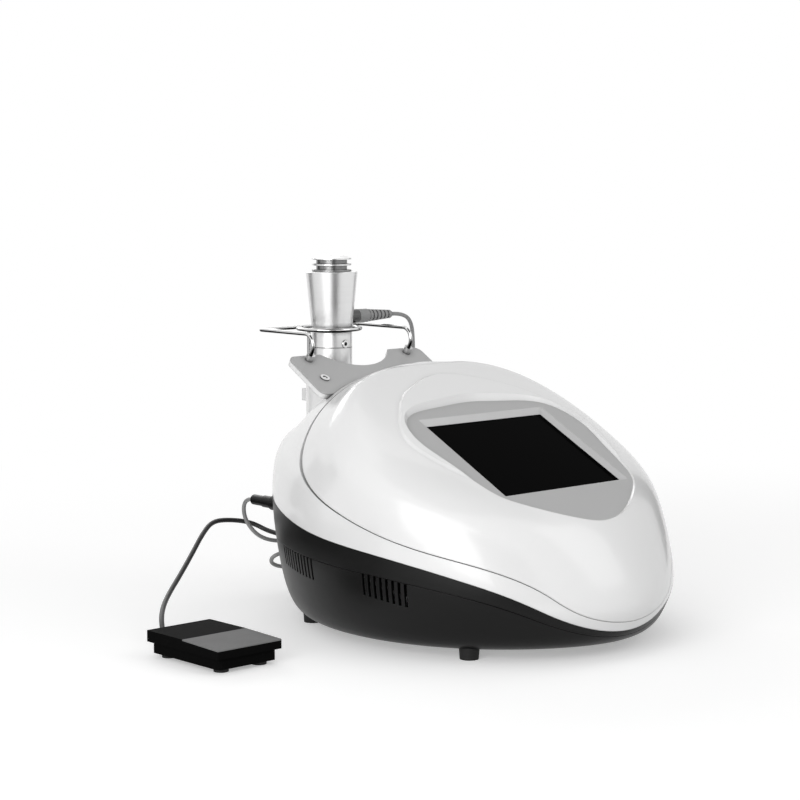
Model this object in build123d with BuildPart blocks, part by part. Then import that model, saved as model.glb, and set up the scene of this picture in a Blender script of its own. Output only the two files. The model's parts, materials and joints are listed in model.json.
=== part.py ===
from build123d import *
from math import asin, atan2, cos, degrees, pi, radians, sin, sqrt, tan
import os

os.makedirs("parts", exist_ok=True)

# Frame: the origin is on the table, on the plane of symmetry of the housing.
# +Z is up, -Y is the nose of the housing, +X is to the right seen from the nose's front.

# Housing: an egg that leans on its nose, widest on a tilted equator
half_width = 183.0
nose_y = -208.4
tail_y = 240.5
equator_z = 99.0
equator_slope = 0.222
apex_y = 71.8
apex_z = 256.5
base_z = 9.8
base_share = 0.838
wall = 3.0
row_count = 16
tub_turns = (90, 70, 45, 20)
dome_turns = (0, 18, 36, 52, 65, 76, 85)
lip = 2.4
lip_depth = 6.0
lip_reach = 5.0
groove_width = 0.8
groove_depth = 1.2
beyond = 400.0
cut_reach = 100.0
upward = (Align.CENTER, Align.CENTER, Align.MIN)
plan_power = 1.138
plan_power_fall = 0.046
nose_swell = 0.035
nose_swell_rise = 0.4
side_power = 0.684
front_power = 2.68
rear_power = 1.73
height_power = 0.9
tub_power = 1.06

# Parting lines of the housing, seen from the side as (y, z); the seam opens towards the back
seam_line = [(-232, 16), (-201, 38.5), (-174, 69), (-87, 105), (4, 131.6), (60, 154), (92, 179),
             (105, 208), (110, 236), (112, 290)]
skirt_line = [(-232, 15.2), (-201, 37.7), (-174, 68.2), (-87, 104.2), (4, 130.4), (62, 151.8), (97, 176.3),
              (110.5, 207.5), (113, 236), (114, 290)]
white_line = [(-232, 6), (-197, 28), (-174, 52), (-122, 79), (-50, 96), (42, 107), (124, 120), (250, 142)]
groove_line = [(-232, 2), (-194, 22), (-162, 49), (-122, 65), (-29, 78.6), (70, 83.5), (250, 97)]

# Screen in its sloping pocket
screen_y = -60.0
screen_z = 176.7
screen_tilt = 27.2
screen_width = 162.6
screen_height = 121.8
screen_sink = 5.5
glass_thick = 1.5
glass_rim = 2.4
frame_side = 4.0
frame_end = 6.0
bezel_thick = 3.0
ledge_thick = 2.5
ledge_width = 6.0
frame_land = 0.6
eye_half = [(0, -121), (25, -115), (52, -99.7), (76, -81.5), (90, -67), (98.4, -46.6), (106, -7), (112, 30),
            (98, 68), (45, 83.5), (0, 87.5)]
scoop_land = 0.6
scoop_height = 14.0
hood_rise = 2.5
hood_level = 1.0
hood_reach = 8.0
hood_half = [(0, -60), (22, -60), (50, -60), (80, -56), (97, -46), (106, -31), (113, -12), (119, 10),
             (121.5, 36), (114, 60), (100, 80), (86, 97), (69, 111), (42, 126), (0, 138)]
pocket_depth = 40.0
module_thick = 8.0
module_rim = 1.2

# Vents in the tub
vent_width = 3.0
vent_height = 22.0
vent_pitch = 6.6
side_vent_count = 8
side_vent_y = -51.0
rear_vent_count = 11
rear_vent_y = 78.0
vent_z = 68.0

# Power panel in the back of the tub
power_panel_width = 64.0
power_panel_height = 34.0
power_panel_depth = 20.0
power_panel_y = 218.0
power_panel_z = 50.0
inlet_x = -12.0
inlet_width = 28.0
inlet_height = 20.0
inlet_depth = 15.0
inlet_pin_length = 10.0
inlet_pin_width = 2.2
inlet_pin_height = 5.0
inlet_pin_places = [(-7, -1.5), (0, 2), (7, -1.5)]
inlet_wall = 2.0
rocker_x = 20.0
rocker_width = 12.9
rocker_height = 19.2
rocker_depth = 16.0
rocker_lip = 1.2
rocker_frame_wall = 2.0
rocker_flange = 3.0
rocker_pin_y = 221.0
rocker_travel = 16.0

# Housing feet and screws
foot_x = 113.0
foot_front_y = -103.0
foot_rear_y = 121.0
foot_radius = 10.0
foot_height = 14.0
foot_foot_radius = 9.0
foot_places = [(x, y) for x in (-foot_x, foot_x) for y in (foot_front_y, foot_rear_y)] + [(0, 0)]
boss_radius = 6.0
boss_x = 58.0
boss_front_y = -100.0
boss_rear_y = 165.0
boss_places = [(x, y) for x in (-boss_x, boss_x) for y in (boss_front_y, boss_rear_y)]
screw_radius = 2.0
screw_head_radius = 3.6
screw_head_height = 2.4
screw_slot = 1.2
fit_gap = 0.05

# Rest for the handpiece
cup_y = 221.5
cup_radius = 27.5
cup_wall = 5.3
cup_floor_z = 183.0
cup_floor = 3.7
cup_top_z = 238.0
cup_foot_z = 165.0
cup_foot_radius = 14.0
cup_boss_y = 254.75
cup_boss_z = 210.5
cup_boss_width = 13.0
cup_boss_length = 17.5
cup_boss_height = 13.0
plate_y = 179.1
plate_z = 256.5
plate_tilt = 31.0
plate_half_width = 91.0
plate_rear = 8.0
plate_front = 66.0
plate_scoop = 24.0
plate_scoop_half = 47.0
plate_corner = 9.0
plate_ear_corner = 5.0
neck_width = 44.0
neck_front_y = 140.0
neck_rear_y = 196.0
neck_low_z = 190.0
neck_step_y = 163.0
neck_shelf_z = 238.0
plate_skin = 1.5
plate_arm = 5.0
button_screw_x = 70.0
button_screw_back = 32.0
button_radius = 5.0
button_height = 1.4
button_recess = 2.6
rod_radius = 2.0
post_x = 68.0
rack_z = 283.2
rack_rear_y = 259.3
rack_front_bend = 12.0
rack_rear_bend = 5.0
ring_radius = 33.3
collar_radius = 4.4
collar_height = 7.0
leg_end_z = 206.5

# Handpiece, standing in the cup
grip_low_z = 284.0
grip_high_z = 344.0
grip_low_radius = 21.6
grip_high_radius = 27.3
cap_low_z = 187.0
sleeve_low_z = 200.0
sleeve_high_z = 280.0
sleeve_radius = 21.5
neck_radius = 18.8
bore_radius = 14.0
barrel_wall = 2.0
cap_radius = 20.6
head_neck_radius = 16.3
head_disc_radius = 20.9
head_disc_thick = 1.5
head_disc_pitch = 6.2
head_bore = 2.2
nozzle_radius = 4.0
nozzle_cone = 12.0
nozzle_rise = 2.5
core_radius = 8.0
core_low_z = 288.0
feed_radius = 2.5
lock_screw_z = 268.0
lock_screw_radius = 4.2
lock_screw_face = 22.2
lock_recess = 2.1
joint_groove_z = 264.0
plug_z = 294.8
socket_radius = 7.5
socket_end = 35.0
plug_radius = 7.3
plug_length = 15.0
relief_length = 34.0
relief_ribs = 6
relief_low_radius = 6.6
relief_high_radius = 4.2
rib_depth = 1.2

# Cables
lead_diameter = 4.3
foot_lead_diameter = 5.0
rear_plug_x = -92.4
rear_plug_z = 108.0
rear_plug_face_y = 208.0
rear_plug_length = 33.0
rear_plug_radius = 6.2
plug_collar = 14.0
plug_grip_radius = 5.4
plug_chamfer = 1.6
rear_socket_radius = 7.6
socket_depth = 18.0
gland_x = -60.0
gland_z = 68.0
gland_radius = 6.0
gland_face_y = 222.0
gland_depth = 18.0
gland_length = 32.0
bend_share = 0.45
handpiece_route = [
    (-92.4, 241, 108), (-92.4, 255, 108), (-91, 268, 98), (-88, 267, 82), (-76, 258, 62), (-50, 248, 55),
    (-8, 245, 58), (34, 243, 60), (52, 243, 56), (60, 243, 45), (52, 242, 34), (34, 240, 31), (0, 239, 38),
    (-34, 238, 46), (-58, 241, 48), (-68, 252, 44), (-62, 264, 34), (-40, 268, 27), (6, 262, 24), (50, 250, 34),
    (86, 240, 60), (108, 232, 105), (118, 228, 160), (121, 226, 215), (121, 225, 262), (116, 223, 286),
    (100, 221.5, 294.8), (84, 221.5, 294.8),
]
foot_route = [
    (-60, 236, 68), (-60, 254, 68), (-72, 270, 78), (-94, 280, 82), (-118, 278, 83), (-140, 266, 74),
    (-170, 245, 59), (-202, 222, 45), (-233, 199, 34), (-258, 176, 27), (-278, 152, 20), (-291.2, 130, 10),
    (-291.2, 113, 10),
]
hose_diameter = 5.0
hose_radius = 3.0
hose_z = 34.0
hose_route = [
    (-51, -20, 34), (-92, -20, 34), (-106, 22, 46), (-110, 66, 64), (-108, 110, 86), (-92.4, 152, 108),
    (-92.4, 190, 108),
]

# Foot switch
pedal_x = -291.2
pedal_y = 52.3
pedal_width = 74.0
pedal_length = 108.0
pedal_top_z = 25.1
pedal_foot = 4.0
pedal_foot_radius = 7.0
pedal_foot_inset = 15.0
pedal_inset = 3.5
pedal_base_top = 16.0
pedal_wall = 2.0
pedal_lid_thick = 3.0
pedal_skirt_z = 14.5
pedal_nose_drop = 1.8
lid_corner = 1.0
tread_rear_y = -1.0
tread_thick = 1.2
pin_radius = 1.5
pin_inset = 12.0
pin_z = 17.5
lug_x = 29.0
lug_width = 4.0
lug_length = 8.0
lug_top_z = 20.5
ear_x = 23.0
ear_width = 6.0
ear_length = 8.0
ear_low_z = 14.0
switch_reach = 60.0
switch_top_z = 16.0
switch_width = 20.0
switch_depth = 8.0
plunger_radius = 2.0
plunger_top_z = 21.2
plunger_sunk = 7.0
plunger_room = 2.0
spring_radius = 5.0
spring_wire = 1.0
spring_turns = 6
spring_reach = 20.0
spring_clear = 0.65
pedal_gland_z = 10.0
pedal_gland_radius = 3.6
pedal_gland_length = 12.2

# Works inside
pump_head_size = 50.0
pump_head_round = 6.0
motor_rise = 30.0
saddle_thick = 6.0
saddle_inset = 12.0
valve_width = 30.0
coil_radius = 11.0
coil_height = 28.0
coil_core_radius = 8.0
coil_core_height = 31.0
supply_width = 56.0
supply_length = 110.0
supply_height = 36.0
supply_slot_length = 40.0
supply_slot_width = 4.0
supply_slot_depth = 3.0
supply_slot_pitch = 12.0
supply_slot_count = 7
board_thick = 1.6
post_radius = 3.0
chip_size = 16.0
chip_height = 3.4
chip_x = -28.0
chip_y = 12.0
strip_x = 36.0
strip_width = 8.0
strip_length = 50.0
strip_height = 9.0
fan_bore_gap = 1.5
fan_arm_width = 4.0
fan_arm_thick = 3.0
blade_thick = 1.2
chassis_z = 21.0
chassis_thick = 2.0
chassis_width = 140.0
chassis_front_y = -115.0
chassis_rear_y = 180.0
saddle_width = 44.0
pump_x = -36.0
pump_head_front_y = 20.0
motor_front_y = 60.0
motor_rear_y = 130.0
motor_radius = 26.0
valve_y = -20.0
valve_rear_y = -8.0
valve_height = 22.0
supply_x = 38.0
supply_y = 95.0
board_x = 18.0
board_y = -70.0
board_width = 90.0
board_length = 70.0
board_rise = 6.0
board_posts = [(board_x + x, board_y + y, chassis_z) for x in (-40, 40) for y in (-30, 30)]
fan_size = 60.0
fan_front_y = 160.0
fan_rear_y = 175.0
fan_radius = 26.0
hub_radius = 11.0
blade_count = 7
blade_pitch = 52.0
blade_chord = 11.0
blade_y = 166.0


def power(value, exponent):
    return (1 if value >= 0 else -1) * abs(value) ** exponent


def egg_rows(inset):
    # Each row of the egg: its share of the width, of the front and rear lengths, its height and its slope
    middle = (nose_y + tail_y) / 2
    level_middle = equator_z + equator_slope * middle
    level_top = equator_z + equator_slope * apex_y
    floor_z = base_z + inset
    rows = []
    for turn in tub_turns:
        drop = sin(radians(turn)) ** tub_power
        share = base_share + (1 - base_share) * cos(radians(turn)) ** tub_power
        height = floor_z + (level_middle - floor_z) * (1 - drop)
        rows.append((0, share, share, share, middle, height, equator_slope * (1 - drop) / share))
    for turn in dome_turns:
        rise = sin(radians(turn)) ** height_power
        share = cos(radians(turn))
        height = level_top * (1 - rise) + (apex_z - inset) * rise
        slope = equator_slope * (1 - rise) / share**front_power
        rows.append((sin(radians(turn)), share**side_power, share**front_power, share**rear_power,
                     apex_y, height, slope))
    return rows


def row_points(inset, lift, x_share, front_share, rear_share, fixed_y):
    # Points of one row in plan, (x, y) from the row's fixed point; higher rows are fuller at the nose
    middle = (nose_y + tail_y) / 2
    half_length = (tail_y - nose_y) / 2 - inset
    points = []
    for i in range(row_count):
        turn = 2 * pi * i / row_count
        reach = (half_width - inset) * (1 - (nose_swell + nose_swell_rise * lift) * sin(turn))
        x = reach * power(cos(turn), plan_power - plan_power_fall * lift) * x_share
        y = middle + half_length * sin(turn) - fixed_y
        points.append((x, y * (front_share if y < 0 else rear_share)))
    return points


def housing_egg(inset):
    # The whole outer form of the housing, or its inside when inset by a wall
    with BuildPart() as egg:
        for lift, x_share, front_share, rear_share, fixed_y, height, slope in egg_rows(inset):
            row = Plane(origin=(0, fixed_y, height), x_dir=(1, 0, 0), z_dir=(0, -slope, 1))
            stretch = sqrt(1 + slope * slope)
            points = row_points(inset, lift, x_share, front_share, rear_share, fixed_y)
            with BuildSketch(row):
                with BuildLine():
                    Spline(*[(x, y * stretch) for x, y in points], periodic=True)
                make_face()
        loft()
    return egg.part


def side_region(line, above, back=0, rise=0):
    # Everything above or below a parting line of the side view, right across the housing
    points = [(y + back, z + rise) for y, z in line]
    first, last = points[0], points[-1]
    if above:
        outside = [(last[0], beyond), (first[0], beyond)]
    else:
        outside = [(beyond, last[1]), (beyond, -beyond), (first[0], -beyond)]
    with BuildPart() as region:
        with BuildSketch(Plane.YZ):
            with BuildLine():
                Spline(*points)
                Polyline(last, *outside, first)
            make_face()
        extrude(amount=half_width + 40, both=True)
    return region.part


def line_height(line, y):
    # Height of a parting line at one place along the housing
    for (y0, z0), (y1, z1) in zip(line, line[1:]):
        if y0 <= y <= y1:
            return z0 + (z1 - z0) * (y - y0) / (y1 - y0)
    return line[-1][1]


def turned(origin, direction, outline):
    # A turned piece: an outline of (radius, distance along the axis) about an axis through the origin
    across = Plane(origin=origin, z_dir=direction)
    sheet = Plane(origin=origin, x_dir=across.x_dir, z_dir=across.x_dir.cross(across.z_dir))
    with BuildPart() as piece:
        with BuildSketch(sheet):
            with BuildLine():
                Polyline(*outline, close=True)
            make_face()
        revolve(axis=Axis(origin, direction))
    return piece.part


def bend_radii(route):
    # Arc radius at each corner of a route: a share of the shorter run beside it
    radii = []
    for before, corner, after in zip(route, route[1:], route[2:]):
        run_in, run_out = Vector(*corner) - Vector(*before), Vector(*after) - Vector(*corner)
        half_turn = radians(run_in.get_angle(run_out)) / 2
        radii.append(bend_share * min(run_in.length, run_out.length) / tan(half_turn))
    return radii


def wire(route, radii, radius):
    # A round rod or cable: straight runs joined by arcs
    with BuildPart() as piece:
        with BuildLine() as path:
            FilletPolyline(*route, radius=radii)
        with BuildSketch(Plane(origin=path.line @ 0, z_dir=path.line % 0)):
            Circle(radius)
        sweep()
    return piece.part


def save(piece, name):
    part = piece.part if isinstance(piece, BuildPart) else piece
    part.label = name
    export_step(part, f"parts/{name}.step")
    print(name, len(part.solids()), round(part.volume))


def save_moved(piece, place, name):
    save(piece.part.moved(place), name)


# Housing surfaces that the shells are cut from
outer = housing_egg(0)
inner = housing_egg(wall)
shell = (outer - inner).solid()
lip_inner = housing_egg(wall + lip)
above_seam = side_region(seam_line, True)
below_seam = side_region(skirt_line, False)
above_white = side_region(white_line, True)
below_white = side_region(white_line, False)
above_groove = side_region(groove_line, True)
below_groove = side_region(groove_line, False)

# The cup's outer form, which also opens the back of the housing
cup_body = turned((0, cup_y, 0), (0, 0, 1), [
    (0, cup_foot_z), (cup_foot_radius, cup_foot_z), (cup_radius - 4, cup_foot_z + 8),
    (cup_radius, cup_floor_z), (cup_radius, cup_top_z), (0, cup_top_z),
])

# Planes of the sloping screen pocket: the grey panel's face, and the glass below it
tilt = radians(screen_tilt)
eye_plane = Plane(
    origin=(0, screen_y - sin(tilt) * screen_sink, screen_z + cos(tilt) * screen_sink),
    x_dir=(1, 0, 0),
    z_dir=(0, -sin(tilt), cos(tilt)),
)
window_width = screen_width + 2 * frame_side
window_height = screen_height + 2 * frame_end


def eye_outline(half, height):
    # A closed outline through half of its points and their mirror images, at one height over the panel
    mirrored = [(-x, y) for x, y in reversed(half[1:-1])]
    with BuildSketch(eye_plane.offset(height)) as outline:
        with BuildLine():
            Spline(*half, *mirrored, periodic=True)
        make_face()
    return outline.sketch


def grown(half, grow):
    # Half of an outline, each point moved outwards square to it
    points = []
    for i, (x, y) in enumerate(half):
        before = half[max(i - 1, 0)]
        after = half[min(i + 1, len(half) - 1)]
        along = Vector(after[0] - before[0], after[1] - before[1]).normalized()
        end = i in (0, len(half) - 1)
        points.append((0, y + (grow if i else -grow)) if end else (x + grow * along.Y, y - grow * along.X))
    return points


def eye_prism(grow, bottom, height):
    # The pocket's outline, grown or shrunk, as a prism square to the panel
    with BuildPart() as prism:
        add(eye_outline(grown(eye_half, grow), bottom))
        extrude(amount=height, dir=eye_plane.z_dir)
    return prism.part


def eye_scoop(sunk):
    # The slope between the panel's edge and the hood, sunk by a wall or not
    with BuildPart() as scoop:
        add(eye_outline(grown(eye_half, scoop_land), -sunk))
        add(eye_outline(grown(eye_half, scoop_land + scoop_height), scoop_height - sunk))
        loft(ruled=True)
    return scoop.part


def eye_hood():
    # The raised hood round the rear of the eye, whose side slopes down to the crease on the dome
    with BuildPart() as hood:
        add(eye_outline(grown(hood_half, hood_reach), hood_level - hood_reach))
        add(eye_outline(grown(hood_half, -hood_reach), hood_level + hood_reach))
        loft(ruled=True)
        add(housing_egg(-hood_rise), mode=Mode.INTERSECT)
    return hood.part


def eye_box(width, height, bottom, depth):
    with BuildPart() as box:
        with BuildSketch(eye_plane.offset(bottom)):
            Rectangle(width, height)
        extrude(amount=depth)
    return box.part


# Top cover: the white dome in front of the seam, hooded and scooped round the grey panel, open under it
with BuildPart() as hollow:
    add(inner)
    add(eye_scoop(wall), mode=Mode.SUBTRACT)
with BuildPart() as top_cover:
    add(outer)
    add(eye_hood())
    add(eye_scoop(0), mode=Mode.SUBTRACT)
    add(hollow.part, mode=Mode.SUBTRACT)
    add(above_seam, mode=Mode.INTERSECT)
    add(eye_prism(0, -pocket_depth, 2 * pocket_depth), mode=Mode.SUBTRACT)
save(top_cover, "top_cover")

# Rear skirt: the white shell below and behind the seam, with a lip that the cover slides over
with BuildPart() as skirt_lip:
    add(inner)
    add(lip_inner, mode=Mode.SUBTRACT)
    add(side_region(skirt_line, True, lip_depth, -lip_depth), mode=Mode.INTERSECT)
    add(side_region(seam_line, False, -lip_reach, lip_reach), mode=Mode.INTERSECT)
with BuildPart() as rear_skirt:
    add(shell)
    add(below_seam, mode=Mode.INTERSECT)
    add(above_white, mode=Mode.INTERSECT)
    add(skirt_lip.part)
    add(cup_body, mode=Mode.SUBTRACT)
save(rear_skirt, "rear_skirt")

# Base band: the black upper ring of the base, with holes for the rear socket
with BuildPart() as base_band:
    add(shell)
    add(below_white, mode=Mode.INTERSECT)
    add(above_groove, mode=Mode.INTERSECT)
    with Locations(Location((rear_plug_x, rear_plug_face_y, rear_plug_z), (90, 0, 0))):
        Cylinder(rear_socket_radius, socket_depth * 2, mode=Mode.SUBTRACT)
save(base_band, "base_band")

# Base tub: the black lower shell with its floor, vents and bosses


def tub_side(y, z):
    # Where the outside of the tub is at one place, and the way it faces in plan
    middle = (nose_y + tail_y) / 2
    half_length = (tail_y - nose_y) / 2
    level = equator_z + equator_slope * y
    drop = 1 - (z - base_z) / (level - base_z)
    turn = asin(drop ** (1 / tub_power))
    share = base_share + (1 - base_share) * cos(turn) ** tub_power
    across = (y - middle) / (half_length * share)
    x = half_width * share * (1 - across**2) ** (plan_power / 2)
    facing = atan2(y - middle, x * (half_length / half_width) ** 2)
    return x, facing


def vent_places():
    places = []
    for count, centre_y in ((side_vent_count, side_vent_y), (rear_vent_count, rear_vent_y)):
        y = centre_y - vent_pitch * (count - 1) / 2 * cos(tub_side(centre_y, vent_z)[1])
        for _ in range(count):
            x, facing = tub_side(y, vent_z)
            for side in (1, -1):
                places.append((side * x, y, line_height(groove_line, y), side * degrees(facing)))
            y += vent_pitch * cos(facing)
    return places


with BuildPart() as groove:
    add(outer)
    add(housing_egg(groove_depth), mode=Mode.SUBTRACT)
    add(below_groove, mode=Mode.INTERSECT)
    add(side_region(groove_line, True, rise=-groove_width), mode=Mode.INTERSECT)
with BuildPart() as base_tub:
    add(shell)
    add(below_groove, mode=Mode.INTERSECT)
    add(groove.part, mode=Mode.SUBTRACT)
    for x, y, top, facing in vent_places():
        with Locations(Location((x, y, top - vent_height / 2 + 1), (0, 0, facing))):
            Box(wall * 8, vent_width, vent_height, mode=Mode.SUBTRACT)
    with Locations((0, power_panel_y, power_panel_z)):
        Box(power_panel_width, power_panel_depth * 3, power_panel_height, mode=Mode.SUBTRACT)
    with Locations(Location((gland_x, gland_face_y, gland_z), (90, 0, 0))):
        Cylinder(gland_radius, gland_depth * 2, mode=Mode.SUBTRACT)
    with BuildSketch(Plane.XY.offset(base_z + wall)):
        with Locations(*boss_places):
            Circle(boss_radius)
    extrude(amount=chassis_z - base_z - wall)
    with Locations(*[(x, y, base_z) for x, y in boss_places]):
        Cylinder(screw_head_radius, screw_head_height * 2, mode=Mode.SUBTRACT)
        Cylinder(screw_radius, cut_reach, mode=Mode.SUBTRACT)
save(base_tub, "base_tub")

# Screen: grey panel, bevelled frame, glass and display, stacked square to the panel
with BuildPart() as panel_ledge:
    add(eye_prism(0, -bezel_thick - ledge_thick, ledge_thick))
    add(eye_prism(-ledge_width, -bezel_thick - ledge_thick, ledge_thick), mode=Mode.SUBTRACT)
    add(eye_box(window_width, window_height, -pocket_depth / 2, pocket_depth), mode=Mode.SUBTRACT)
save(panel_ledge, "panel_ledge")

with BuildPart() as screen_bezel:
    add(eye_prism(0, -bezel_thick, bezel_thick))
    add(eye_box(window_width, window_height, -pocket_depth / 2, pocket_depth), mode=Mode.SUBTRACT)
save(screen_bezel, "screen_bezel")

glass_bottom = -screen_sink - glass_thick
with BuildPart() as screen_frame:
    add(eye_box(window_width, window_height, glass_bottom, -glass_bottom))
    with BuildSketch(eye_plane):
        Rectangle(window_width - 2 * frame_land, window_height - 2 * frame_land)
    with BuildSketch(eye_plane.offset(-screen_sink)):
        Rectangle(screen_width, screen_height)
    loft(mode=Mode.SUBTRACT)
    add(
        eye_box(screen_width + 2 * glass_rim, screen_height + 2 * glass_rim, glass_bottom, glass_thick),
        mode=Mode.SUBTRACT,
    )
save(screen_frame, "screen_frame")

with BuildPart() as touch_glass:
    add(eye_box(screen_width + 2 * glass_rim, screen_height + 2 * glass_rim, glass_bottom, glass_thick))
save(touch_glass, "touch_glass")

with BuildPart() as display_module:
    add(
        eye_box(
            screen_width + 2 * module_rim,
            screen_height + 2 * module_rim,
            glass_bottom - module_thick,
            module_thick,
        )
    )
save(display_module, "display_module")

# Feet under the housing, four near its corners and one in the middle, shaped to the shell above them
with BuildPart() as housing_feet:
    for x, y in foot_places:
        with Locations(Location((x, y, foot_height / 2), (180, 0, 0))):
            Cone(foot_radius, foot_foot_radius, foot_height)
    add(outer, mode=Mode.SUBTRACT)
save(housing_feet, "housing_feet")

# Screws that hold the chassis and close the housing from below
with BuildPart() as case_screws:
    with Locations(*[(x, y, base_z) for x, y in boss_places]):
        Cylinder(screw_head_radius, screw_head_height, align=upward)
        Cylinder(screw_radius, chassis_z + chassis_thick - base_z, align=upward)
        Box(screw_slot * 4, screw_slot, screw_slot, align=upward, mode=Mode.SUBTRACT)
save(case_screws, "case_screws")

# Power panel in the tub: a block with the mains inlet and the rocker switch
rocker_hole_width = rocker_width + 2 * rocker_frame_wall
rocker_hole_height = rocker_height + 2 * rocker_frame_wall
with BuildPart() as power_panel:
    with Locations((0, power_panel_y, power_panel_z)):
        Box(power_panel_width, power_panel_depth, power_panel_height)
    with Locations((inlet_x, power_panel_y, power_panel_z)):
        Box(inlet_width, power_panel_depth, inlet_height, mode=Mode.SUBTRACT)
    with Locations((rocker_x, power_panel_y, power_panel_z)):
        Box(rocker_hole_width, power_panel_depth, rocker_hole_height, mode=Mode.SUBTRACT)
save(power_panel, "power_panel")

panel_face_y = power_panel_y + power_panel_depth / 2
inlet_mid_y = panel_face_y - inlet_depth / 2
with BuildPart() as power_inlet:
    with Locations((inlet_x, power_panel_y, power_panel_z)):
        Box(inlet_width, power_panel_depth, inlet_height)
    with Locations((inlet_x, inlet_mid_y, power_panel_z)):
        Box(inlet_width - 2 * inlet_wall, inlet_depth, inlet_height - 2 * inlet_wall, mode=Mode.SUBTRACT)
save(power_inlet, "power_inlet")

with BuildPart() as inlet_pins:
    with Locations(*[(inlet_x + step, panel_face_y - inlet_depth, power_panel_z + rise)
                     for step, rise in inlet_pin_places]):
        Box(inlet_pin_width, inlet_pin_length, inlet_pin_height, align=(Align.CENTER, Align.MIN, Align.CENTER))
save(inlet_pins, "inlet_pins")

with BuildPart() as rocker_frame:
    with Locations((rocker_x, power_panel_y, power_panel_z)):
        Box(rocker_hole_width, power_panel_depth, rocker_hole_height)
    with Locations((rocker_x, panel_face_y + rocker_lip / 2, power_panel_z)):
        Box(rocker_width + 2 * rocker_flange, rocker_lip, rocker_height + 2 * rocker_flange)
    with Locations((rocker_x, panel_face_y, power_panel_z)):
        Box(rocker_width, rocker_depth * 2, rocker_height, mode=Mode.SUBTRACT)
    with Locations(Location((rocker_x, rocker_pin_y, power_panel_z), (0, 90, 0))):
        Cylinder(pin_radius, rocker_width)
save(rocker_frame, "rocker_frame")

with BuildPart() as power_rocker:
    with BuildSketch(Plane.YZ.offset(rocker_x)):
        with BuildLine():
            Polyline((-2, -9.2), (0, -9.2), (9.5, -7.9), (8.3, 0), (9.5, 7.9), (0, 9.2), (-2, 9.2), close=True)
        make_face()
    extrude(amount=rocker_width / 2 - 0.3, both=True)
    with Locations(Location((rocker_x, 0, 0), (0, 90, 0))):
        Cylinder(pin_radius + fit_gap, rocker_width, mode=Mode.SUBTRACT)
rocker_turn = Location((0, rocker_pin_y, power_panel_z)) * Location((0, 0, 0), (-rocker_travel / 2, 0, 0))
save_moved(power_rocker, rocker_turn, "power_rocker")

# Rear socket and plug of the handpiece lead, gland of the foot lead
back = (0, 1, 0)
socket_mouth = (rear_plug_x, rear_plug_face_y, rear_plug_z)
save(turned(socket_mouth, back, [(0, -socket_depth), (rear_socket_radius, -socket_depth),
                                 (rear_socket_radius, 0), (0, 0)]), "rear_socket")
save(turned(socket_mouth, back, [
    (0, 0), (rear_plug_radius, 0), (rear_plug_radius, plug_collar), (plug_grip_radius, plug_collar + 1),
    (plug_grip_radius, rear_plug_length - plug_chamfer), (plug_grip_radius - plug_chamfer, rear_plug_length),
    (0, rear_plug_length),
]), "rear_plug")
gland_start = (gland_x, gland_face_y - gland_depth, gland_z)
save(turned(gland_start, back, [(0, 0), (gland_radius, 0), (gland_radius, gland_depth),
                                (3.3, gland_length), (0, gland_length)]), "foot_gland")

# Cup at the back of the housing that the handpiece stands in
with BuildPart() as handpiece_cup:
    add(cup_body)
    with Locations((0, cup_boss_y, cup_boss_z)):
        Box(cup_boss_width, cup_boss_length, cup_boss_height)
    with Locations((0, cup_y, cup_floor_z + cup_floor)):
        Cylinder(cup_radius - cup_wall, cut_reach, align=upward, mode=Mode.SUBTRACT)
    with Locations((0, rack_rear_y, leg_end_z)):
        Cylinder(rod_radius, cut_reach, align=upward, mode=Mode.SUBTRACT)
save(handpiece_cup, "handpiece_cup")

# Bracket over the dome: white arm with a neck, grey plate on its face, scooped round the handpiece
plate_plane = Plane(
    origin=(0, plate_y, plate_z),
    x_dir=(1, 0, 0),
    z_dir=(0, -sin(radians(plate_tilt)), cos(radians(plate_tilt))),
)
scoop_radius = (plate_scoop_half**2 + plate_scoop**2) / (2 * plate_scoop)


def plate_sheet(bottom, thick):
    with BuildPart() as sheet:
        with BuildSketch(plate_plane.offset(bottom)) as outline:
            with Locations((0, plate_rear - plate_front / 2)):
                Rectangle(plate_half_width * 2, plate_front)
            with Locations((0, plate_rear - plate_scoop + scoop_radius)):
                Circle(scoop_radius, mode=Mode.SUBTRACT)
            corners = outline.vertices()
            outer_corners = [v for v in corners if abs(v.X) > plate_half_width - 1]
            inner_corners = [v for v in corners if abs(v.X) < plate_half_width - 1]
            fillet(outer_corners, plate_corner)
            fillet(inner_corners, plate_ear_corner)
        extrude(amount=thick)
        add(outer, mode=Mode.SUBTRACT)
        for side in (-1, 1):
            with Locations(plate_plane.location * Location((side * button_screw_x, -button_screw_back, 0))):
                Cylinder(screw_radius, cut_reach, mode=Mode.SUBTRACT)
    return sheet.part


with BuildPart() as bracket_plate:
    add(plate_sheet(-plate_skin, plate_skin))
save(bracket_plate, "bracket_plate")

with BuildPart() as bracket_arm:
    with Locations((0, (neck_front_y + neck_step_y) / 2, neck_low_z)):
        Box(neck_width, neck_step_y - neck_front_y, cut_reach, align=upward)
    split(bisect_by=plate_plane.offset(-plate_skin - plate_arm / 2), keep=Keep.BOTTOM)
    with Locations((0, (neck_step_y + neck_rear_y - plate_arm) / 2, neck_low_z)):
        Box(neck_width, neck_rear_y - neck_step_y + plate_arm, neck_shelf_z - neck_low_z, align=upward)
    add(plate_sheet(-plate_skin - plate_arm, plate_arm))
    add(outer, mode=Mode.SUBTRACT)
    add(cup_body, mode=Mode.SUBTRACT)
save(bracket_arm, "bracket_arm")

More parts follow.
